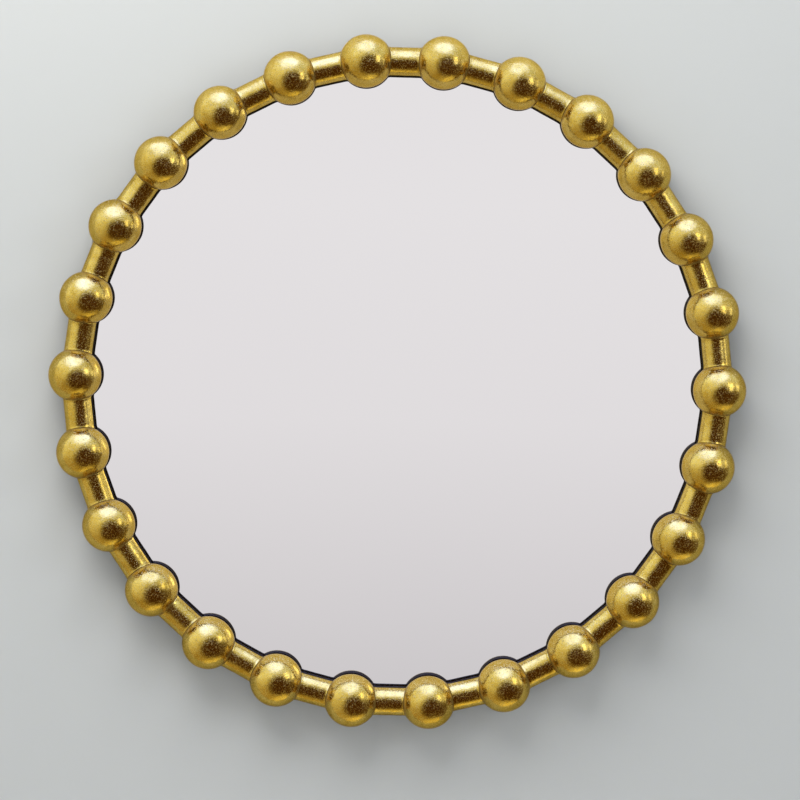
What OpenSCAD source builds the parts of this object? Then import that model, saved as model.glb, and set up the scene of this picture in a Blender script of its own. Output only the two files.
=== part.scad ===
// Round wall mirror in a ring of gilded balls joined by half-round rails.
// The glass looks towards -Y, +Z is up, and the origin lies on the wall behind the middle of the glass.
// The rails are coped round the balls and tenoned into them, and a screw from behind holds each ball.

/* [Bead ring] */
// Number of balls, with a rail between each two; a rail stays at the top
bead_count = 26; // [22:4:30]
// Distance from the glass's edge out to the circle through the middles of the balls
ring_offset = 15; // [13:0.5:17]
// Diameter of a ball
bead_d = 70; // [62:1:74]
// Depth from the middle of a ball back to its planed face
bead_flat = 11.5; // [9:0.5:14]
// Diameter of the rod that a rail is planed from
rail_d = 38; // [30:1:44]
// Depth from the axis of a rail back to its planed face
rail_flat = 4; // [2:0.5:6]
// Glue line between a coped rail end and its ball
glue_line = 0.05; // [0.02:0.01:0.2]
// Diameter of the tenons on the rail ends
tenon_d = 10; // [7:0.5:12]
// Depth from a tenon's axis back to the planed faces
tenon_flat = 7; // [6.5:0.5:8]
// Length of a tenon inside its ball
tenon_len = 12; // [8:1:14]
// Spare depth at the bottom of a tenon socket
socket_spare = 0.8; // [0.3:0.1:2]

/* [Backing frame] */
// Thickness of the scalloped face ring under the balls and rails
face_t = 8; // [6:0.5:12]
// Distance that the face ring's edge stays inside the planed faces
face_inset = 0.6; // [0:0.1:1.5]
// Distance that the rebate ring's rim stays inside the rails' outer side
rebate_inset = 2; // [1:0.5:4]

/* [Glazing] */
// Radius of the mirror glass
glass_r = 407; // [370:1:450]
// Thickness of the mirror glass
glass_t = 5; // [4:0.5:6]
// Gap round the edges of the glass and the backing board
glass_gap = 1.5; // [1:0.1:2.5]
// Thickness of the tape that cushions the glass
tape_t = 1; // [0.5:0.1:2]
// Width of the tape
tape_w = 4; // [3:0.5:5]
// Thickness of the backing board
board_t = 6; // [4:0.5:8]

/* [Turn buttons] */
// Width of a turn button
button_w = 12; // [10:0.5:16]
// Reach of a turn button from its screw to the tip of its nose
button_len = 26; // [22:1:32]
// Thickness of a turn button
button_t = 2; // [1.5:0.1:2.5]
// Wood between the glass pocket and a turn button's screw
button_edge = 9; // [7:0.5:12]

/* [Hangers] */
// Length of a hanger strap below its ring
strap_len = 38; // [34:1:44]
// Width of a hanger strap
strap_w = 12; // [10:0.5:13]
// Thickness of a hanger strap
strap_t = 1.5; // [1:0.1:1.6]
// Width of the loop that the ring turns in
loop_w = 10; // [8:0.5:12]
// Diameter of the ring's wire
wire_d = 3.5; // [3:0.1:3.8]
// Width of a hanger ring between the middles of its legs
ring_w = 20; // [19:0.5:24]
// Radius of the bends at a hanger ring's corners
elbow_r = 2.8; // [2.4:0.1:3.5]
// Straight length of a hanger ring's legs
leg_len = 4; // [3.5:0.5:8]
// Distance from the ring's hinge to the strap's first screw
strap_screw_top = 8; // [7.5:0.5:9]
// Distance between a strap's two screws
strap_screw_gap = 22; // [18:1:24]

/* [Wall bumpers] */
// Thickness of a bumper, which is the gap between frame and wall
bumper_t = 7; // [6.8:0.1:10]
// Diameter of a bumper where it meets the frame
bumper_d = 20; // [16:1:24]
// Diameter of the well that its screw sits in
bumper_well_d = 9; // [8:0.5:10]
// Thickness of rubber under the screw's head
bumper_floor = 2.5; // [2:0.1:3.5]

/* [Screws] */
// Shank diameter of the long screws in the balls
bead_screw_d = 4.5; // [4:0.1:5.5]
// Depth that a long screw bites into its ball
bead_screw_bite = 24; // [15:1:30]
// Head diameter of the long screws
bead_screw_head_d = 8.5; // [7.5:0.1:10]
// Shank diameter of the short screws
short_screw_d = 3.5; // [3:0.1:4]
// Length of a short screw under its head
short_screw_len = 12; // [10:0.5:12.5]
// Head diameter of the short screws
short_screw_head_d = 6.6; // [6:0.1:7.4]
// Head height of the short screws
short_screw_head_h = 2; // [1.6:0.1:2.2]
// Width of the slot in every screw head
slot_w = 1; // [0.6:0.1:1.4]
// Depth of that slot
slot_depth = 0.9; // [0.6:0.1:1.2]

/* [Fits] */
// Clearance round a screw that bites into wood
bite_gap = 0.03; // [0.01:0.01:0.1]
// Clearance round a screw that passes through a piece
pass_gap = 0.25; // [0.1:0.05:0.5]
// Running clearance of a turn button on its screw and of a wire in its loop
run_gap = 0.06; // [0.02:0.01:0.1]
// Free play over and under a turn button
button_play = 0.3; // [0.2:0.05:0.4]

/* [Hidden] */
round_fn = 96;
wire_fn = 48;
eps = 0.1;                                    // overrun of cuts past a face
screw_spare = 1;                              // spare depth under a screw's tip
button_count = 6;

// Bead ring, seen from the front, with angles from +X towards +Z
pitch = 360 / bead_count;
bead_r = bead_d / 2;
rail_r = rail_d / 2;
pitch_r = glass_r + ring_offset;
chord = 2 * pitch_r * sin(pitch / 2);
rail_circle_r = pitch_r * cos(pitch / 2);
rail_back = bead_flat - rail_flat;            // rail axis behind the ball's middle
tenon_back = bead_flat - tenon_flat;          // tenon axis behind the ball's middle
bead_flat_r = sqrt(pow(bead_r, 2) - pow(bead_flat, 2));
rail_flat_w = 2 * sqrt(pow(rail_r, 2) - pow(rail_flat, 2));
tenon_start = sqrt(pow(bead_r, 2) - pow(tenon_back, 2)) - tenon_len;
top_rail = (bead_count - 2) / 4;

// Depths, from the wall forwards
pocket_t = tape_t + glass_t + board_t;
back_y = -bumper_t;
rebate_y = back_y - pocket_t;
face_y = rebate_y - face_t;
bead_y = face_y - bead_flat;
rail_y = face_y - rail_flat;
tenon_y = face_y - tenon_flat;

// Backing frame and glazing
pocket_r = glass_r + glass_gap;
rebate_r = rail_circle_r + rail_flat_w / 2 - rebate_inset;
wall_mid_r = (pocket_r + rebate_r) / 2;
button_r = pocket_r + button_edge;

// Places of the hardware, each behind the middle of a rail
button_step = round(bead_count / 6.5);
button_rails = [for (half = [0, 1], step = [-1, 0, 1])
    top_rail + step * button_step + half * bead_count / 2];
bumper_rails = [for (half = [0, 1], step = [-1, 1])
    top_rail + step * (button_step - 1) + half * bead_count / 2];
hanger_a = rail_angle(1);
hanger_x = wall_mid_r * cos(hanger_a);
hinge_z = wall_mid_r * sin(hanger_a) + strap_len / 2;

// Hanger loop and ring
wire_r = wire_d / 2;
loop_y = strap_t + run_gap + wire_r;          // wire axis over the frame's back
loop_r = loop_y - eps;

function bead_angle(i) = i * pitch;
function rail_angle(i) = (i + 0.5) * pitch;
function two_digits(i) = str(i < 10 ? "0" : "", i);
function bead_name(i) = str("bead_", two_digits(i + 1));
function button_name(k) = str("turn_button_", k + 1);

gold = [0.83, 0.62, 0.22];
ebony = [0.12, 0.10, 0.09];
birch = [0.72, 0.58, 0.40];
silver = [0.86, 0.87, 0.88];
steel = [0.62, 0.63, 0.65];
zinc = [0.75, 0.76, 0.78];
rubber = [0.16, 0.16, 0.17];

// Turns a piece that is drawn on the +X side to its angle on the ring
module at_angle(a) {
    rotate([0, -a, 0]) children();
}

// Rod along Y from depth y0, thick towards the wall
module rod_y(r, h, y0) {
    translate([0, y0, 0]) rotate([-90, 0, 0]) cylinder(r = r, h = h, $fn = round_fn);
}

// Flat piece from depth y0; the outline's own Y points down
module plate_y(h, y0) {
    translate([0, y0, 0]) rotate([-90, 0, 0]) linear_extrude(height = h) children();
}

// Round ring between two radii, from depth y0
module ring_y(outer, inner, h, y0) {
    difference() {
        rod_y(outer, h, y0);
        rod_y(inner, h + 2 * eps, y0 - eps);
    }
}

// Profile of a planed ball round its own axis, with the screw's pilot hole; its Y points to the wall
module bead_profile() {
    difference() {
        circle(r = bead_r, $fn = round_fn);
        translate([-bead_d, -bead_r]) square([bead_d, bead_d]);
        translate([-bead_r, bead_flat]) square(bead_d);
        translate([-eps, bead_flat - bead_screw_bite - screw_spare])
            square([bead_screw_d / 2 + bite_gap + eps, bead_d]);
    }
}

// Ball with a socket for each neighbouring tenon
module bead(i) {
    color(gold) at_angle(bead_angle(i)) translate([pitch_r, 0, 0]) difference() {
        translate([0, bead_y, 0]) rotate([-90, 0, 0]) rotate_extrude($fn = round_fn) bead_profile();
        for (side = [0, 180])
            translate([0, tenon_y, 0]) rotate([side, 0, 0]) rotate([0, -pitch / 2, 0])
                translate([0, 0, tenon_start - socket_spare])
                    cylinder(r = tenon_d / 2 + glue_line, h = bead_d, $fn = round_fn);
    }
}

// Half-round rail, coped round the balls at its ends, with its two tenons
module rail() {
    difference() {
        cylinder(r = rail_r, h = chord, center = true, $fn = round_fn);
        for (side = [-1, 1])
            translate([0, -rail_back, side * chord / 2]) sphere(r = bead_r + glue_line, $fn = round_fn);
        translate([-rail_d, rail_flat, -chord]) cube([2 * rail_d, rail_d, 2 * chord]);
    }
    translate([0, rail_flat - tenon_flat, 0])
        cylinder(r = tenon_d / 2, h = chord - 2 * tenon_start, center = true, $fn = round_fn);
}

module rails() {
    color(gold) for (i = [0:bead_count - 1])
        at_angle(rail_angle(i)) translate([rail_circle_r, rail_y, 0]) rail();
}

// Outline of the face ring: a disc under each ball and a strip under each rail
module face_outline() {
    strip_w = rail_flat_w - 2 * face_inset;
    for (i = [0:bead_count - 1]) {
        rotate(bead_angle(i)) translate([pitch_r, 0]) circle(r = bead_flat_r - face_inset, $fn = round_fn);
        rotate(rail_angle(i)) translate([rail_circle_r, 0]) square([strip_w, chord], center = true);
    }
}

module face_ring() {
    color(ebony) difference() {
        plate_y(face_t, face_y) face_outline();
        for (i = [0:bead_count - 1])
            at_angle(bead_angle(i)) translate([pitch_r, 0, 0])
                rod_y(bead_screw_d / 2 + pass_gap, face_t + 2 * eps, face_y - eps);
    }
}

// Countersunk long screw hole or head, flush with the frame's back
module countersink(head_r, shank_r) {
    depth = head_r - shank_r;
    translate([0, back_y - depth, 0]) rotate([-90, 0, 0])
        cylinder(r1 = shank_r, r2 = head_r, h = depth, $fn = round_fn);
}

// Ring that holds the glass and the backing board in its pocket
module rebate_ring() {
    color(ebony) difference() {
        ring_y(rebate_r, pocket_r, pocket_t, rebate_y);
        for (i = [0:bead_count - 1])
            at_angle(bead_angle(i)) translate([pitch_r, 0, 0]) {
                rod_y(bead_screw_d / 2 + pass_gap, pocket_t + 2 * eps, rebate_y - eps);
                translate([0, eps, 0])
                    countersink(bead_screw_head_d / 2 + pass_gap + eps, bead_screw_d / 2 + pass_gap);
            }
        at_buttons() pilot(button_t + 2 * button_play);
        at_strap_screws() pilot(strap_t);
        at_bumpers() pilot(bumper_floor);
    }
}

// Pilot hole for a short screw whose head sits the given height over the frame's back
module pilot(seat) {
    depth = short_screw_len - seat + screw_spare;
    rod_y(short_screw_d / 2 + bite_gap, depth + eps, back_y - depth);
}

module at_buttons() {
    for (i = button_rails) at_angle(rail_angle(i)) translate([button_r, 0, 0]) children();
}

module at_bumpers() {
    for (i = bumper_rails) at_angle(rail_angle(i)) translate([wall_mid_r, 0, 0]) children();
}

module at_strap_screws() {
    for (side = [-1, 1], drop = [strap_screw_top, strap_screw_top + strap_screw_gap])
        translate([side * hanger_x, 0, hinge_z - drop]) children();
}

module glazing_tape() {
    color(rubber) ring_y(glass_r, glass_r - tape_w, tape_t, rebate_y);
}

module mirror_glass() {
    color(silver) rod_y(glass_r, glass_t, rebate_y + tape_t);
}

module backing_board() {
    color(birch) rod_y(glass_r, board_t, rebate_y + tape_t + glass_t);
}

// Outline of a turn button: a round end at the screw and a nose that narrows to a round tip
module button_outline() {
    tip_r = button_w / 3;
    difference() {
        union() {
            circle(r = button_w / 2, $fn = round_fn);
            translate([-button_len + tip_r, 0]) circle(r = tip_r, $fn = round_fn);
            polygon([
                [0, button_w / 2],
                [-button_len + tip_r, tip_r],
                [-button_len + tip_r, -tip_r],
                [0, -button_w / 2]
            ]);
        }
        circle(r = short_screw_d / 2 + run_gap, $fn = round_fn);
    }
}

module turn_button(k) {
    color(steel) at_angle(rail_angle(button_rails[k])) translate([button_r, 0, 0])
        plate_y(button_t, back_y + button_play) button_outline();
}

// Round-headed slotted screw whose head starts the given height over the frame's back
module short_screw(seat) {
    difference() {
        union() {
            rod_y(short_screw_d / 2, short_screw_len + eps, back_y + seat - short_screw_len);
            rod_y(short_screw_head_d / 2, short_screw_head_h, back_y + seat);
        }
        translate([-short_screw_head_d, back_y + seat + short_screw_head_h - slot_depth, -slot_w / 2])
            cube([2 * short_screw_head_d, short_screw_head_h, slot_w]);
    }
}

module turn_button_screws() {
    color(zinc) at_buttons() short_screw(button_t + 2 * button_play);
}

module hanger_screws() {
    color(zinc) at_strap_screws() short_screw(strap_t);
}

module bumper_screws() {
    color(zinc) at_bumpers() short_screw(bumper_floor);
}

// Countersunk slotted screw through both rings into a ball
module bead_screws() {
    shank_len = bead_screw_bite + face_t + pocket_t;
    color(zinc) for (i = [0:bead_count - 1])
        at_angle(bead_angle(i)) translate([pitch_r, 0, 0]) difference() {
            union() {
                rod_y(bead_screw_d / 2, shank_len - eps, face_y - bead_screw_bite);
                countersink(bead_screw_head_d / 2, bead_screw_d / 2);
            }
            translate([-bead_screw_head_d, back_y - slot_depth, -slot_w / 2])
                cube([2 * bead_screw_head_d, bead_screw_head_d, slot_w]);
        }
}

// Steel strap with a round end, two screw holes and the rolled loop at its top
module hanger_strap(side) {
    color(steel) translate([side * hanger_x, back_y, hinge_z]) difference() {
        union() {
            plate_y(strap_t, 0) {
                translate([-strap_w / 2, 0]) square([strap_w, strap_len - strap_w / 2]);
                translate([0, strap_len - strap_w / 2]) circle(d = strap_w, $fn = round_fn);
            }
            translate([-loop_w / 2, loop_y, 0]) rotate([0, 90, 0])
                cylinder(r = loop_r, h = loop_w, $fn = round_fn);
        }
        translate([-strap_w, loop_y, 0]) rotate([0, 90, 0])
            cylinder(r = wire_r + run_gap, h = 2 * strap_w, $fn = round_fn);
        for (drop = [strap_screw_top, strap_screw_top + strap_screw_gap])
            translate([0, 0, -drop]) rod_y(short_screw_d / 2 + pass_gap, strap_t + 2 * eps, -eps);
    }
}

// Quarter bend or bow of round wire, in the XZ plane, from +X towards +Z
module wire_bend(r, turn) {
    rotate([90, 0, 0]) rotate_extrude(angle = turn, $fn = round_fn)
        translate([r, 0]) circle(r = wire_r, $fn = wire_fn);
}

// D-shaped wire ring: a straight hinge bar, two bent corners, two legs and a bow
module hanger_ring(side) {
    half = ring_w / 2;
    bow_z = elbow_r + leg_len;
    color(steel) translate([side * hanger_x, back_y + loop_y, hinge_z]) {
        translate([-half + elbow_r, 0, 0]) rotate([0, 90, 0])
            cylinder(r = wire_r, h = ring_w - 2 * elbow_r, $fn = wire_fn);
        for (s = [0, 1]) mirror([s, 0, 0]) {
            translate([half - elbow_r, 0, elbow_r]) rotate([0, 90, 0]) wire_bend(elbow_r, 90);
            translate([half, 0, elbow_r]) cylinder(r = wire_r, h = leg_len, $fn = wire_fn);
        }
        translate([0, 0, bow_z]) wire_bend(half, 180);
    }
}

// Tapered rubber foot with a well for its screw
module wall_bumpers() {
    color(rubber) at_bumpers() difference() {
        translate([0, back_y, 0]) rotate([-90, 0, 0])
            cylinder(d1 = bumper_d, d2 = bumper_d - 2, h = bumper_t, $fn = round_fn);
        rod_y(bumper_well_d / 2, bumper_t, back_y + bumper_floor);
        rod_y(short_screw_d / 2 + pass_gap, bumper_t, back_y - eps);
    }
}

for (i = [0:bead_count - 1]) bead(i);
rails();
face_ring();
rebate_ring();
glazing_tape();
mirror_glass();
backing_board();
for (k = [0:button_count - 1]) turn_button(k);
turn_button_screws();
bead_screws();
hanger_strap(-1);  // hanger_strap_left
hanger_strap(1);  // hanger_strap_right
hanger_ring(-1);  // hanger_ring_left
hanger_ring(1);  // hanger_ring_right
hanger_screws();
wall_bumpers();
bumper_screws();
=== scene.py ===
# Round wall mirror in a ring of gilded balls and half-round rails, with the hardware behind it
import bpy
import math
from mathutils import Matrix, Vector


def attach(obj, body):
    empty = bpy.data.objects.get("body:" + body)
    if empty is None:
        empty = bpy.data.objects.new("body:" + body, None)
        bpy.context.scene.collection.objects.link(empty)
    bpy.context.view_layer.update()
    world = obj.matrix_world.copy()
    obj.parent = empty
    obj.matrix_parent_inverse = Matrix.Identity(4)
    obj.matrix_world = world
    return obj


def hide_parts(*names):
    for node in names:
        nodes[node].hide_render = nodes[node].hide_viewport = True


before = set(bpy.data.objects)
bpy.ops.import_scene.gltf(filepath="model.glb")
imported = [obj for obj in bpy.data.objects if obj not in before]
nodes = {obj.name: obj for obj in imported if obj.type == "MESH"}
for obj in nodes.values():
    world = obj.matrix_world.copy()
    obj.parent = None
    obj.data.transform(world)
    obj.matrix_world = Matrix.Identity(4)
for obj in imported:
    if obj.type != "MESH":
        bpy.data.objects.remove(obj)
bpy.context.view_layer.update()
bpy.ops.object.select_all(action="DESELECT")
print("frame loaded:", len(nodes), "nodes")

# the ring as the drawing has it, in metres
ring = {
    "beads": 26,
    "circle": 0.422,            # through the middles of the balls
    "face": -0.027,             # planed faces of balls and rails
}
pitch = 360 / ring["beads"]     # degrees from ball to ball
chord = 2 * ring["circle"] * math.sin(math.radians(pitch / 2))
railCircle = ring["circle"] * math.cos(math.radians(pitch / 2))


# camera

camera = {
    "place": (0.0, -5.04, 0.2),
    "aim": (0.0041, -0.0385, -0.0224),
    "lens": 172.1,
    "roll": 1.4,                # degrees, so the row of balls leans clockwise as on the wall
    "farEnd": 40,
}

bpy.ops.object.camera_add(location=camera["place"])
photoCamera = bpy.context.object
photoCamera.name = "photoCamera"
look = Vector(camera["aim"]) - Vector(camera["place"])
photoCamera.rotation_euler = look.to_track_quat("-Z", "Y").to_matrix().to_4x4().to_euler()
photoCamera.rotation_euler.rotate_axis("Z", math.radians(camera["roll"]))
photoCamera.data.lens = camera["lens"]
photoCamera.data.clip_end = camera["farEnd"]
bpy.context.scene.camera = photoCamera
bpy.context.scene.view_settings.view_transform = "Standard"
print("camera placed")


# node helpers

def newMaterial(name):
    material = bpy.data.materials.new(name)
    material.use_nodes = True
    tree = material.node_tree
    tree.nodes.clear()
    out = tree.nodes.new("ShaderNodeOutputMaterial")
    shader = tree.nodes.new("ShaderNodeBsdfPrincipled")
    tree.links.new(shader.outputs["BSDF"], out.inputs["Surface"])
    return material, tree, shader


def place(tree, kind="Object"):
    return tree.nodes.new("ShaderNodeTexCoord").outputs[kind]


def noise(tree, vector, scale, detail, rough=0.5, distort=0):
    node = tree.nodes.new("ShaderNodeTexNoise")
    node.inputs["Scale"].default_value = scale
    node.inputs["Detail"].default_value = detail
    node.inputs["Roughness"].default_value = rough
    node.inputs["Distortion"].default_value = distort
    tree.links.new(vector, node.inputs["Vector"])
    return node.outputs["Fac"]


def cells(tree, vector, scale):
    node = tree.nodes.new("ShaderNodeTexVoronoi")
    node.inputs["Scale"].default_value = scale
    tree.links.new(vector, node.inputs["Vector"])
    return node.outputs["Distance"]


def ramp(tree, value, stops):
    node = tree.nodes.new("ShaderNodeValToRGB")
    band = node.color_ramp
    while len(band.elements) < len(stops):
        band.elements.new(0.5)
    for element, (where, colour) in zip(band.elements, stops):
        element.position = where
        if not isinstance(colour, (tuple, list)):
            colour = (colour, colour, colour)
        element.color = (*colour, 1)
    tree.links.new(value, node.inputs["Fac"])
    return node.outputs["Color"]


def spread(tree, value, low, high, toLow=0, toHigh=1):
    node = tree.nodes.new("ShaderNodeMapRange")
    node.inputs["From Min"].default_value = low
    node.inputs["From Max"].default_value = high
    node.inputs["To Min"].default_value = toLow
    node.inputs["To Max"].default_value = toHigh
    tree.links.new(value, node.inputs["Value"])
    return node.outputs["Result"]


def calc(tree, kind, first, second):
    node = tree.nodes.new("ShaderNodeMath")
    node.operation = kind
    for socket, value in zip(node.inputs, (first, second)):
        if isinstance(value, (int, float)):
            socket.default_value = value
        else:
            tree.links.new(value, socket)
    return node.outputs[0]


def times(tree, first, second):
    return calc(tree, "MULTIPLY", first, second)


def highest(tree, first, *others):
    for other in others:
        first = calc(tree, "MAXIMUM", first, other)
    return first


def blendColours(tree, share, first, second, kind="MIX"):
    node = tree.nodes.new("ShaderNodeMix")
    node.data_type = "RGBA"
    node.blend_type = kind
    sockets = (node.inputs[0], node.inputs[6], node.inputs[7])
    for socket, value in zip(sockets, (share, first, second)):
        if isinstance(value, (int, float)):
            socket.default_value = value
        elif isinstance(value, (tuple, list)):
            socket.default_value = (*value, 1)
        else:
            tree.links.new(value, socket)
    return node.outputs[2]


def bumps(tree, shader, height, strength, distance, under=None):
    node = tree.nodes.new("ShaderNodeBump")
    node.inputs["Strength"].default_value = strength
    node.inputs["Distance"].default_value = distance
    tree.links.new(height, node.inputs["Height"])
    if under is not None:
        tree.links.new(under, node.inputs["Normal"])
    tree.links.new(node.outputs["Normal"], shader.inputs["Normal"])
    return node.outputs["Normal"]


def axisOf(tree, vector, axis):
    node = tree.nodes.new("ShaderNodeSeparateXYZ")
    tree.links.new(vector, node.inputs[0])
    return node.outputs[axis]


def lengthOf(tree, vector):
    node = tree.nodes.new("ShaderNodeVectorMath")
    node.operation = "LENGTH"
    tree.links.new(vector, node.inputs[0])
    return node.outputs["Value"]


def reach(tree, vector):
    # distance from the axis through the middle of the mirror
    flat = tree.nodes.new("ShaderNodeVectorMath")
    flat.operation = "MULTIPLY"
    flat.inputs[1].default_value = (1, 0, 1)
    tree.links.new(vector, flat.inputs[0])
    return lengthOf(tree, flat.outputs[0])


# gold leaf; patterns are scale, detail, roughness and distortion

leaf = {
    "deep": (0.56, 0.360, 0.050),
    "mid": (0.70, 0.478, 0.092),
    "light": (0.80, 0.59, 0.150),
    "fleck": (0.92, 0.77, 0.34),
    "umber": (0.012, 0.007, 0.003),
    "dullAndShadedLeaf": (0.30, 0.200, 0.070),
    "patches": (55, 4, 0.6, 0.4),
    "flecks": (640, 3, 0.7),
    "fleckRange": (0.535, 0.605),
    "fleckShare": 0.5,
    "worn": (760, 2, 0.7),
    "wornRange": (0.57, 0.66),
    "wornShare": 0.5,
    "dullPower": 0.7,           # the duller leaf in the joints and the darkest umber deepest in them, both painted shade in the crease between ball and rail; the leaf is also less metallic and rougher there
    "dullShare": 0.9,
    "dullMetal": 0.45,
    "dullRough": 0.5,
    "shadeGlazePower": 6,
    "shadeGlazeShare": 0.75,
    "bareRearAndShade": (-0.0392, -0.0374),     # the leaf stops between these depths
    "inner": (0.422, 0.408),        # and most of all between these distances from the axis
    "outerShare": 0.15,
    "rearMetal": (0.2, 0.9),
    "rearRough": 0.7,
    "polish": (160, 4, 0.65),
    "roughLow": 0.13,
    "roughHigh": 0.20,
    "roughFleck": 0.60,
    "edgeTint": (0.85, 0.72, 0.45),
    "edgeLevel": 0.15,
    "waves": (120, 2, 0.5),
    "grain": (420, 3, 0.6, 0.2),
    "peaks": (650, 1, 0.5),
    "peakRange": (0.55, 0.80),
    "waveHeight": 0.00022,
    "grainHeight": 0.00007,
    "peakHeight": 0.00008,
}


def makeGoldLeaf():
    material, tree, shader = newMaterial("goldLeaf")
    where = place(tree)
    patches = noise(tree, where, *leaf["patches"])
    gold = ramp(tree, patches, [(0.3, leaf["deep"]), (0.5, leaf["mid"]), (0.7, leaf["light"])])
    flecks = spread(tree, noise(tree, where, *leaf["flecks"]), *leaf["fleckRange"])
    gold = blendColours(tree, times(tree, flecks, leaf["fleckShare"]), gold, leaf["fleck"])
    worn = spread(tree, noise(tree, where, *leaf["worn"]), *leaf["wornRange"])
    crease = tree.nodes.new("ShaderNodeAttribute")
    crease.attribute_name = "crease"
    near = crease.outputs["Fac"]
    # painted shade: the leaf darkens, and the umber deepens, towards each ball-rail joint
    dullnessAndShade = calc(tree, "POWER", near, leaf["dullPower"])
    gold = blendColours(tree, times(tree, dullnessAndShade, leaf["dullShare"]), gold, leaf["dullAndShadedLeaf"])
    creaseShadeGlaze = times(tree, calc(tree, "POWER", near, leaf["shadeGlazePower"]), leaf["shadeGlazeShare"])
    # the leaf stops short of the face ring, most of all on the side that looks at the glass; the
    # umber there is partly bare wood and partly painted shade of the dark gap by the glass
    bareRearAndShade = spread(tree, axisOf(tree, where, "Y"), *leaf["bareRearAndShade"])
    inner = spread(tree, reach(tree, where), *leaf["inner"], leaf["outerShare"], 1)
    bareRearAndShade = times(tree, bareRearAndShade, inner)
    # random wear, plus the painted shade of the joints and of the gap behind the balls
    wearAndPaintedShade = highest(tree, times(tree, worn, leaf["wornShare"]), bareRearAndShade, creaseShadeGlaze)
    colour = blendColours(tree, wearAndPaintedShade, gold, leaf["umber"])
    tree.links.new(colour, shader.inputs["Base Color"])
    metal = calc(tree, "MINIMUM", spread(tree, bareRearAndShade, *leaf["rearMetal"], 1, 0),
                 spread(tree, dullnessAndShade, 0, 1, 1, leaf["dullMetal"]))
    tree.links.new(metal, shader.inputs["Metallic"])
    polish = spread(tree, noise(tree, where, *leaf["polish"]), 0.3, 0.7,
                    leaf["roughLow"], leaf["roughHigh"])
    rough = highest(tree, polish, times(tree, flecks, leaf["roughFleck"]),
                    times(tree, near, leaf["dullRough"]), times(tree, bareRearAndShade, leaf["rearRough"]))
    tree.links.new(rough, shader.inputs["Roughness"])
    shader.inputs["Specular Tint"].default_value = (*leaf["edgeTint"], 1)
    shader.inputs["Specular IOR Level"].default_value = leaf["edgeLevel"]
    waves = noise(tree, where, *leaf["waves"])
    first = bumps(tree, shader, waves, 1, leaf["waveHeight"])
    grain = noise(tree, where, *leaf["grain"])
    second = bumps(tree, shader, grain, 1, leaf["grainHeight"], first)
    peaks = spread(tree, noise(tree, where, *leaf["peaks"]), *leaf["peakRange"])
    bumps(tree, shader, peaks, 1, leaf["peakHeight"], second)
    return material


goldLeaf = makeGoldLeaf()


# stained wood of the backing frame

stain = {
    "dark": (0.0060, 0.0036, 0.0020),
    "light": (0.024, 0.0145, 0.0080),
    "stretch": (1, 1, 14),
    "grain": (14, 6, 0.6, 0.6),
    "rough": (0.58, 0.83),
    "bump": (0.3, 0.0005),
    "frameGloss": 0.04,
    "edgeGloss": 0.0,
}


def makeBlackWood(name, gloss):
    material, tree, shader = newMaterial(name)
    mapping = tree.nodes.new("ShaderNodeMapping")
    mapping.inputs["Scale"].default_value = stain["stretch"]
    tree.links.new(place(tree), mapping.inputs["Vector"])
    grain = noise(tree, mapping.outputs[0], *stain["grain"])
    colour = ramp(tree, grain, [(0.35, stain["dark"]), (0.7, stain["light"])])
    tree.links.new(colour, shader.inputs["Base Color"])
    tree.links.new(spread(tree, grain, 0.3, 0.7, *stain["rough"]), shader.inputs["Roughness"])
    shader.inputs["Specular IOR Level"].default_value = gloss
    bumps(tree, shader, grain, *stain["bump"])
    return material


blackWood = makeBlackWood("blackStainedWood", stain["frameGloss"])
blackEdge = makeBlackWood("blackStainedEdge", stain["edgeGloss"])


# mirror glass

silver = {
    "drift": (2.2, 2),
    "tints": [(0.3, (0.915, 0.905, 0.915)), (0.7, (0.925, 0.915, 0.922))],
}


def makeMirror():
    material, tree, shader = newMaterial("silveredGlass")
    tint = ramp(tree, noise(tree, place(tree), *silver["drift"]), silver["tints"])
    tree.links.new(tint, shader.inputs["Base Color"])
    shader.inputs["Metallic"].default_value = 1
    shader.inputs["Roughness"].default_value = 0
    return material


mirrorGlass = makeMirror()


# hardboard of the backing board

board = {
    "fibres": (520, 5, 0.8, 0.25),
    "broad": (9, 4, 0.6),
    "colours": [(0.32, (0.170, 0.092, 0.045)), (0.68, (0.34, 0.205, 0.112))],
    "shades": [(0.3, 0.78), (0.7, 1.0)],
    "rough": 0.72,
    "bump": (0.35, 0.0004),
}


def makeHardboard():
    material, tree, shader = newMaterial("hardboard")
    where = place(tree)
    fibres = noise(tree, where, *board["fibres"])
    base = ramp(tree, fibres, board["colours"])
    shade = ramp(tree, noise(tree, where, *board["broad"]), board["shades"])
    colour = blendColours(tree, 1.0, base, shade, "MULTIPLY")
    tree.links.new(colour, shader.inputs["Base Color"])
    shader.inputs["Roughness"].default_value = board["rough"]
    bumps(tree, shader, fibres, *board["bump"])
    return material


hardboard = makeHardboard()


# metals: colour, lowest and highest roughness

metals = {
    "zincSteel": ((0.46, 0.46, 0.445), 0.32, 0.50),
    "screwSteel": ((0.58, 0.55, 0.48), 0.26, 0.45),
}
metalSkin = {
    "grain": (420, 4, 0.6),
    "spots": 260,
    "spotShade": 0.82,
    "bump": (0.12, 0.0002),
}


def makeMetal(name):
    colour, low, high = metals[name]
    material, tree, shader = newMaterial(name)
    where = place(tree)
    grain = noise(tree, where, *metalSkin["grain"])
    spots = cells(tree, where, metalSkin["spots"])
    dark = tuple(c * metalSkin["spotShade"] for c in colour)
    tree.links.new(ramp(tree, spots, [(0.1, dark), (0.6, colour)]), shader.inputs["Base Color"])
    shader.inputs["Metallic"].default_value = 1
    tree.links.new(spread(tree, grain, 0.3, 0.7, low, high), shader.inputs["Roughness"])
    bumps(tree, shader, grain, *metalSkin["bump"])
    return material


zincSteel = makeMetal("zincSteel")
screwSteel = makeMetal("screwSteel")


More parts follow.
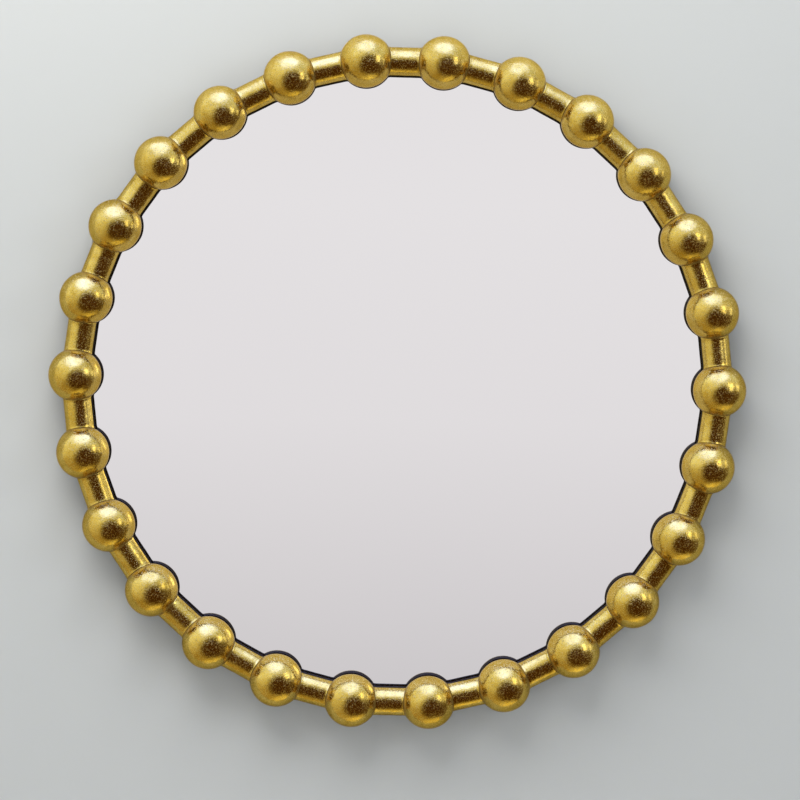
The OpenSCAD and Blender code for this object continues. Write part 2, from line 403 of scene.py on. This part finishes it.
# rubber of the bumpers, and the foam tape

rubber = {
    "skin": (700, 4, 0.7),
    "shades": [(0.3, 0.012), (0.7, 0.03)],
    "rough": (0.5, 0.72),
    "bump": (0.2, 0.0003),
}


def makeRubber():
    material, tree, shader = newMaterial("blackRubber")
    skin = noise(tree, place(tree), *rubber["skin"])
    tree.links.new(ramp(tree, skin, rubber["shades"]), shader.inputs["Base Color"])
    tree.links.new(spread(tree, skin, 0.3, 0.7, *rubber["rough"]), shader.inputs["Roughness"])
    bumps(tree, shader, skin, *rubber["bump"])
    return material


blackRubber = makeRubber()
print("materials made")


# modelling helpers

def only(piece):
    bpy.ops.object.select_all(action="DESELECT")
    piece.select_set(True)
    bpy.context.view_layer.objects.active = piece


def applyModifiers(piece):
    only(piece)
    for modifier in list(piece.modifiers):
        bpy.ops.object.modifier_apply(modifier=modifier.name)


def markCrease(piece, nearness):
    # 1 in the joint between ball and rail, falling to 0 a few millimetres away
    crease = piece.data.attributes.new("crease", "FLOAT", "POINT")
    for vertex, value in zip(piece.data.vertices, crease.data):
        value.value = max(0.0, min(1.0, nearness(vertex.co)))


def markGilded(piece, isGilded):
    # the skin that gets dented, without the planed face and the ends
    group = piece.vertex_groups.new(name="gilded")
    group.add([v.index for v in piece.data.vertices if isGilded(v.co)], 1, "REPLACE")


def setMaterial(piece, material):
    piece.data.materials.clear()
    piece.data.materials.append(material)


def copyAt(master, name, angle, radius, depth):
    piece = master.copy()
    piece.data = master.data.copy()
    piece.name = name
    bpy.context.collection.objects.link(piece)
    turn = math.radians(angle)
    piece.rotation_euler = (0, -turn, 0)
    piece.location = (radius * math.cos(turn), depth, radius * math.sin(turn))
    only(piece)
    bpy.ops.object.transform_apply(location=True, rotation=True, scale=True)
    return piece


def planeBack(flat, weld):
    # planes the active piece flat behind and closes its skin
    bpy.ops.object.mode_set(mode="EDIT")
    bpy.ops.mesh.select_all(action="SELECT")
    bpy.ops.mesh.bisect(plane_co=(0, flat, 0), plane_no=(0, 1, 0), use_fill=True,
                        clear_outer=True)
    bpy.ops.mesh.select_all(action="SELECT")
    bpy.ops.mesh.remove_doubles(threshold=weld)
    bpy.ops.mesh.normals_make_consistent(inside=False)
    bpy.ops.object.mode_set(mode="OBJECT")


# dents in the gilded skin

dents = {
    "broad": 0.024,             # sizes of the two patterns
    "fine": 0.006,
    "layers": 2,
    "smooth": 40,               # degrees
}


def dentTexture(name, size):
    texture = bpy.data.textures.new(name, "CLOUDS")
    texture.noise_scale = size
    texture.noise_depth = dents["layers"]
    return texture


broadDents = dentTexture("broadDents", dents["broad"])
fineDents = dentTexture("fineDents", dents["fine"])


def dent(piece, texture, depth):
    modifier = piece.modifiers.new("dent", "DISPLACE")
    modifier.texture = texture
    modifier.texture_coords = "LOCAL"
    modifier.strength = depth
    modifier.mid_level = 1
    modifier.vertex_group = "gilded"


def roughen(piece, values):
    dent(piece, broadDents, values["broad"])
    dent(piece, fineDents, values["fine"])
    applyModifiers(piece)
    bpy.ops.object.shade_smooth_by_angle(angle=math.radians(dents["smooth"]))


# balls and rails

ball = {
    "radius": 0.035,
    "flat": 0.0115,             # planed face behind the middle
    "cuts": 31,
    "weld": 0.0004,
    "margin": 0.0002,           # the planed face and its edge, which aren't dented
    "broad": 0.00035,
    "fine": 0.00010,
    "crease": 0.0080,           # reach of the duller leaf and painted shade round a joint
}

rail = {
    "radius": 0.019,
    "flat": 0.004,
    "half": 0.0255,             # rod length each way, before it is coped
    "sides": 72,
    "cuts": 33,
    "endCuts": 4,
    "endFrom": 0.0145,          # the ends, with more cuts, lie further out than this
    "lengthwise": 0.0005,       # an edge that spans more than this runs along the rod
    "weld": 0.00003,
    "glue": 0.00005,
    "tip": 0.0001,              # the rod's cut ends, which get no fillet
    "margin": 0.0002,
    "skin": 0.0003,
    "broad": 0.00030,
    "fine": 0.00010,
    "crease": 0.0062,
    "fillet": 0.0030,           # reach of the gesso fillet along the rail
    "rise": 0.0005,
}


def railNearness(point):
    # how close a point of the ball is to the rails on both sides of it
    best = 0
    lean = math.radians(pitch / 2)
    away = point - Vector((0, ball["flat"] - rail["flat"], 0))
    for side in (-1, 1):
        along = Vector((-math.sin(lean), 0, side * math.cos(lean)))
        if away.dot(along) > 0:
            clear = (away - along * away.dot(along)).length - rail["radius"]
            best = max(best, 1 - clear / ball["crease"])
    return best


def ballNearness(point):
    # how close a point of the rail is to the ball at its end
    middle = Vector((0, rail["flat"] - ball["flat"], math.copysign(chord / 2, point.z)))
    return 1 - ((point - middle).length - ball["radius"]) / rail["crease"]


def modelBall():
    bpy.ops.mesh.primitive_cube_add(size=2 * ball["radius"])
    piece = bpy.context.object
    piece.name = "ballMaster"
    bpy.ops.object.mode_set(mode="EDIT")
    bpy.ops.mesh.select_all(action="SELECT")
    bpy.ops.mesh.subdivide(number_cuts=ball["cuts"])
    bpy.ops.object.mode_set(mode="OBJECT")
    cast = piece.modifiers.new("round", "CAST")
    cast.cast_type = "SPHERE"
    cast.factor = 1
    cast.size = ball["radius"]
    cast.use_radius_as_size = False
    applyModifiers(piece)
    planeBack(ball["flat"], ball["weld"])
    markGilded(piece, lambda co: co.y < ball["flat"] - ball["margin"])
    markCrease(piece, railNearness)
    setMaterial(piece, goldLeaf)
    return piece


ballMaster = modelBall()
print("ball modelled:", len(ballMaster.data.polygons), "faces")
for i in range(ring["beads"]):
    piece = copyAt(ballMaster, "gilded_ball_%02d" % (i + 1), i * pitch, ring["circle"],
                   ring["face"] - ball["flat"])
    roughen(piece, ball)
    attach(piece, "frame")
    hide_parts("bead_%02d" % (i + 1))
print("balls placed:", ring["beads"])


def neighbours():
    # the two balls beside a rail in one piece, as a tool for the cope and the fillet
    tools = []
    for side in (-1, 1):
        tool = ballMaster.copy()
        tool.data = ballMaster.data.copy()
        bpy.context.collection.objects.link(tool)
        only(tool)
        tool.scale = [(ball["radius"] + rail["glue"]) / ball["radius"]] * 3
        tool.location = (0, rail["flat"] - ball["flat"], side * chord / 2)
        bpy.ops.object.transform_apply(location=True, rotation=True, scale=True)
        tools.append(tool)
    only(tools[0])
    tools[1].select_set(True)
    bpy.ops.object.join()
    return bpy.context.object


def cutLengthwise(piece, cuts, outFrom):
    # new cross lines in the lengthwise edges that lie further out than this
    bpy.ops.object.mode_set(mode="EDIT")
    bpy.ops.mesh.select_mode(type="EDGE")
    bpy.ops.mesh.select_all(action="DESELECT")
    bpy.ops.object.mode_set(mode="OBJECT")
    for edge in piece.data.edges:
        first, last = (piece.data.vertices[v].co.z for v in edge.vertices)
        along = abs(first - last) > rail["lengthwise"]
        edge.select = along and abs(first + last) / 2 >= outFrom
    bpy.ops.object.mode_set(mode="EDIT")
    bpy.ops.mesh.subdivide(number_cuts=cuts)
    bpy.ops.object.mode_set(mode="OBJECT")


def modelRail():
    tool = neighbours()
    bpy.ops.mesh.primitive_cylinder_add(vertices=rail["sides"], radius=rail["radius"],
                                        depth=2 * rail["half"])
    piece = bpy.context.object
    piece.name = "railMaster"
    cutLengthwise(piece, rail["cuts"], 0)
    cutLengthwise(piece, rail["endCuts"], rail["endFrom"])

    joint = piece.vertex_groups.new(name="joint")
    inside = rail["half"] - rail["tip"]
    joint.add([v.index for v in piece.data.vertices if abs(v.co.z) < inside], 1, "REPLACE")
    near = piece.modifiers.new("near", "VERTEX_WEIGHT_PROXIMITY")
    near.vertex_group = "joint"
    near.target = tool
    near.proximity_mode = "GEOMETRY"
    near.proximity_geometry = {"FACE"}
    near.min_dist = rail["fillet"]
    near.max_dist = 0
    near.falloff_type = "SHARP"
    applyModifiers(piece)
    flare = piece.modifiers.new("flare", "DISPLACE")
    flare.strength = rail["rise"]
    flare.mid_level = 0
    flare.vertex_group = "joint"
    cope = piece.modifiers.new("cope", "BOOLEAN")
    cope.operation = "DIFFERENCE"
    cope.solver = "EXACT"
    cope.object = tool
    applyModifiers(piece)
    bpy.data.objects.remove(tool)

    planeBack(rail["flat"], rail["weld"])
    piece.vertex_groups.clear()
    markGilded(piece, lambda co: co.y < rail["flat"] - rail["margin"]
               and math.hypot(co.x, co.y) > rail["radius"] - rail["skin"])
    markCrease(piece, ballNearness)
    setMaterial(piece, goldLeaf)
    return piece


railMaster = modelRail()
print("rail modelled:", len(railMaster.data.polygons), "faces")
for i in range(ring["beads"]):
    piece = copyAt(railMaster, "gilded_rail_%02d" % (i + 1), (i + 0.5) * pitch, railCircle,
                   ring["face"] - rail["flat"])
    roughen(piece, rail)
    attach(piece, "frame")
    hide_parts("rails")
print("rails placed:", ring["beads"])
bpy.data.objects.remove(ballMaster)
bpy.data.objects.remove(railMaster)


# finishes of the pieces that keep their drawn shape

finishes = {
    "face_ring": blackEdge,
    "rebate_ring": blackWood,
    "mirror_glass": mirrorGlass,
    "backing_board": hardboard,
    "glazing_tape": blackRubber,
    "wall_bumpers": blackRubber,
    "turn_button_screws": screwSteel,
    "bead_screws": screwSteel,
    "hanger_screws": screwSteel,
    "bumper_screws": screwSteel,
    "hanger_strap_left": zincSteel,
    "hanger_strap_right": zincSteel,
    "hanger_ring_left": zincSteel,
    "hanger_ring_right": zincSteel,
}
for k in range(6):
    finishes["turn_button_%d" % (k + 1)] = zincSteel
for name, material in finishes.items():
    setMaterial(nodes[name], material)
print("finishes set:", len(finishes))


# wall and floor

stage = {
    "paintRough": 0.9,
    "wall": 1.7,
    "wallSides": 96,
    "wallBehind": 0.0005,
    "wallFade": (0.85, 1.6),    # the wall melts into the background between these
    "gap": 0.03,                # the wall is clear to rays shorter than this
    "wallPaint": (0.73, 0.75, 0.745),
    "wallPaintedReflection": (0.62, 0.62, 0.56),      # painted reflection: the paint the gold sees on the wall, darker low down and brighter high up
    "wallPaintedReflectionHigh": (0.92, 0.95, 0.93),
    "highRange": (0.22, 0.55),
    "floor": -1.4,
    "floorSize": 16.0,
    "floorFade": (3.0, 7.0),
    "floorPaint": (0.78, 0.77, 0.74),
}


def paint(name, colour):
    material, tree, shader = newMaterial(name)
    shader.inputs["Base Color"].default_value = (*colour, 1)
    shader.inputs["Roughness"].default_value = stage["paintRough"]
    return material, tree, shader


def letThrough(tree, shader, share):
    clear = tree.nodes.new("ShaderNodeBsdfTransparent")
    mix = tree.nodes.new("ShaderNodeMixShader")
    out = next(n for n in tree.nodes if n.type == "OUTPUT_MATERIAL")
    tree.links.new(share, mix.inputs[0])
    tree.links.new(shader.outputs[0], mix.inputs[1])
    tree.links.new(clear.outputs[0], mix.inputs[2])
    tree.links.new(mix.outputs[0], out.inputs["Surface"])


def makeWallPaint():
    material, tree, shader = paint("wallPaint", stage["wallPaint"])
    path = tree.nodes.new("ShaderNodeLightPath")
    # painted reflection: glossy rays see a darker wall paint that lightens towards the top
    high = spread(tree, axisOf(tree, place(tree), "Z"), *stage["highRange"])
    paintedReflection = blendColours(tree, high, stage["wallPaintedReflection"], stage["wallPaintedReflectionHigh"])
    colour = blendColours(tree, path.outputs["Is Glossy Ray"], stage["wallPaint"], paintedReflection)
    tree.links.new(colour, shader.inputs["Base Color"])
    facing = tree.nodes.new("ShaderNodeNewGeometry")
    near = calc(tree, "LESS_THAN", path.outputs["Ray Length"], stage["gap"])
    edge = spread(tree, reach(tree, place(tree)), *stage["wallFade"])
    letThrough(tree, shader, highest(tree, facing.outputs["Backfacing"], near, edge))
    return material


def makeWall():
    # a wall with one side, which is clear from behind
    bpy.ops.mesh.primitive_circle_add(vertices=stage["wallSides"], radius=stage["wall"],
                                      fill_type="NGON", rotation=(math.radians(90), 0, 0),
                                      location=(0, stage["wallBehind"], 0))
    wall = bpy.context.object
    wall.name = "studioWall"
    bpy.ops.object.transform_apply(location=True, rotation=True, scale=True)
    if wall.data.polygons[0].normal.y > 0:
        bpy.ops.object.mode_set(mode="EDIT")
        bpy.ops.mesh.select_all(action="SELECT")
        bpy.ops.mesh.flip_normals()
        bpy.ops.object.mode_set(mode="OBJECT")
    setMaterial(wall, makeWallPaint())


makeWall()


def makeFloorPaint():
    # clear to the gold, which sees the room's light through it
    material, tree, shader = paint("floorPaint", stage["floorPaint"])
    path = tree.nodes.new("ShaderNodeLightPath")
    edge = spread(tree, lengthOf(tree, place(tree)), *stage["floorFade"])
    letThrough(tree, shader, highest(tree, path.outputs["Is Glossy Ray"], edge))
    return material


bpy.ops.mesh.primitive_plane_add(size=stage["floorSize"], location=(0, 0, stage["floor"]))
studioFloor = bpy.context.object
studioFloor.name = "studioFloor"
setMaterial(studioFloor, makeFloorPaint())


# lamps

lamps = {
    "ceiling": {
        "place": (-0.75, -1.1, 2.0), "aim": (0, 0, 0), "size": (2.6, 2.1), "power": 60,
        "colour": (1, 0.985, 0.955), "sheen": False},
    "windowNear": {
        "place": (2.2, -1.7, 0.80), "aim": (0, 0, 0), "size": (0.8, 1.2), "power": 6.5,
        "colour": (0.90, 0.94, 1), "sheen": True},
    "windowFar": {
        "place": (2.7, -0.40, 0.42), "aim": (0, -0.1, 0), "size": (0.5, 0.9), "power": 1.8,
        "colour": (0.90, 0.94, 1), "sheen": True},
    "behind": {
        "place": (-1.2, 2.3, 1.6), "aim": (0, 0, 0), "size": (1.6, 1.2), "power": 45,
        "colour": (1, 0.99, 0.97), "sheen": True},
}


def addLamp(name, lamp):
    bpy.ops.object.light_add(type="AREA", location=lamp["place"])
    light = bpy.context.object
    light.name = name
    light.data.shape = "RECTANGLE"
    light.data.size, light.data.size_y = lamp["size"]
    light.data.energy = lamp["power"]
    light.data.color = lamp["colour"]
    away = Vector(lamp["aim"]) - Vector(lamp["place"])
    light.rotation_euler = away.to_track_quat("-Z", "Y").to_euler()
    light.visible_camera = False
    light.visible_glossy = lamp["sheen"]


for name, lamp in lamps.items():
    addLamp(name, lamp)


# room light: pale for the camera, a pale gradient for the glass, and for the gold a made-up room
# that is neither plain nor neutral, with two dim places, a warm one and a strong bluish one

room = {
    "seen": (0.80, 0.81, 0.80),
    "light": [(0.0, (0.50, 0.40, 0.16)), (0.14, (0.40, 0.31, 0.13)),
              (0.50, (0.73, 0.71, 0.52)), (0.70, (0.98, 1.04, 1.04)),
              (1.0, (1.04, 1.22, 1.60))],
    "leftShare": 1.20,
    "rightShare": 0.74,
    "behind": [(0.0, (0.30, 0.29, 0.27)), (0.5, (0.55, 0.56, 0.57)), (1.0, (1.0, 1.0, 1.0))],
    "behindHeights": (-0.6, 0.9),
    "behindFrom": (0.0, 0.1),
    # direction, outer and inner edge in degrees, depth, colour
    "places": [((0.26, -0.90, -0.32), 54, 34, 1.0, (0.078, 0.034, 0.006)),
               ((0.80, -0.30, -0.46), 46, 22, 0.85, (0.078, 0.034, 0.006)),
               ((0.26, 0.14, -0.95), 34, 12, 1.0, (1.25, 1.10, 0.52)),
               ((-0.050, -0.330, 0.943), 37, 22, 1.0, (1.72, 2.24, 6.2))],
    "plain": (0.35, 0.36, 0.365),       # for everything else
    "inGlass": [(0.0, (0.645, 0.625, 0.632)), (0.45, (0.805, 0.785, 0.791)),
                (0.8, (0.842, 0.825, 0.829))],
    "glassHeights": (-0.122, 0.038),
}


def addPlace(tree, light, direction, spot):
    middle, outer, inner, depth, colour = spot
    dot = tree.nodes.new("ShaderNodeVectorMath")
    dot.operation = "DOT_PRODUCT"
    dot.inputs[1].default_value = Vector(middle).normalized()
    tree.links.new(direction, dot.inputs[0])
    outer, inner = math.cos(math.radians(outer)), math.cos(math.radians(inner))
    share = spread(tree, dot.outputs["Value"], outer, inner, 0, depth)
    return blendColours(tree, share, light, colour)


def makeRoom():
    world = bpy.data.worlds.new("room")
    bpy.context.scene.world = world
    world.use_nodes = True
    tree = world.node_tree
    tree.nodes.clear()
    out = tree.nodes.new("ShaderNodeOutputWorld")
    direction = place(tree, "Generated")
    height = axisOf(tree, direction, "Z")
    light = ramp(tree, spread(tree, height, -1, 1), room["light"])
    share = spread(tree, axisOf(tree, direction, "X"), -1, 1,
                   room["leftShare"], room["rightShare"])
    light = blendColours(tree, 1.0, light, share, "MULTIPLY")
    behind = ramp(tree, spread(tree, height, *room["behindHeights"]), room["behind"])
    share = spread(tree, axisOf(tree, direction, "Y"), *room["behindFrom"])
    light = blendColours(tree, share, light, behind)
    for spot in room["places"]:
        light = addPlace(tree, light, direction, spot)
    glassLight = ramp(tree, spread(tree, height, *room["glassHeights"]), room["inGlass"])
    path = tree.nodes.new("ShaderNodeLightPath")
    lit = blendColours(tree, path.outputs["Is Glossy Ray"], room["plain"], light)
    mirrored = blendColours(tree, path.outputs["Is Singular Ray"], lit, glassLight)
    final = blendColours(tree, path.outputs["Is Camera Ray"], mirrored, room["seen"])
    background = tree.nodes.new("ShaderNodeBackground")
    tree.links.new(final, background.inputs["Color"])
    tree.links.new(background.outputs[0], out.inputs["Surface"])


makeRoom()
print("studio lit")
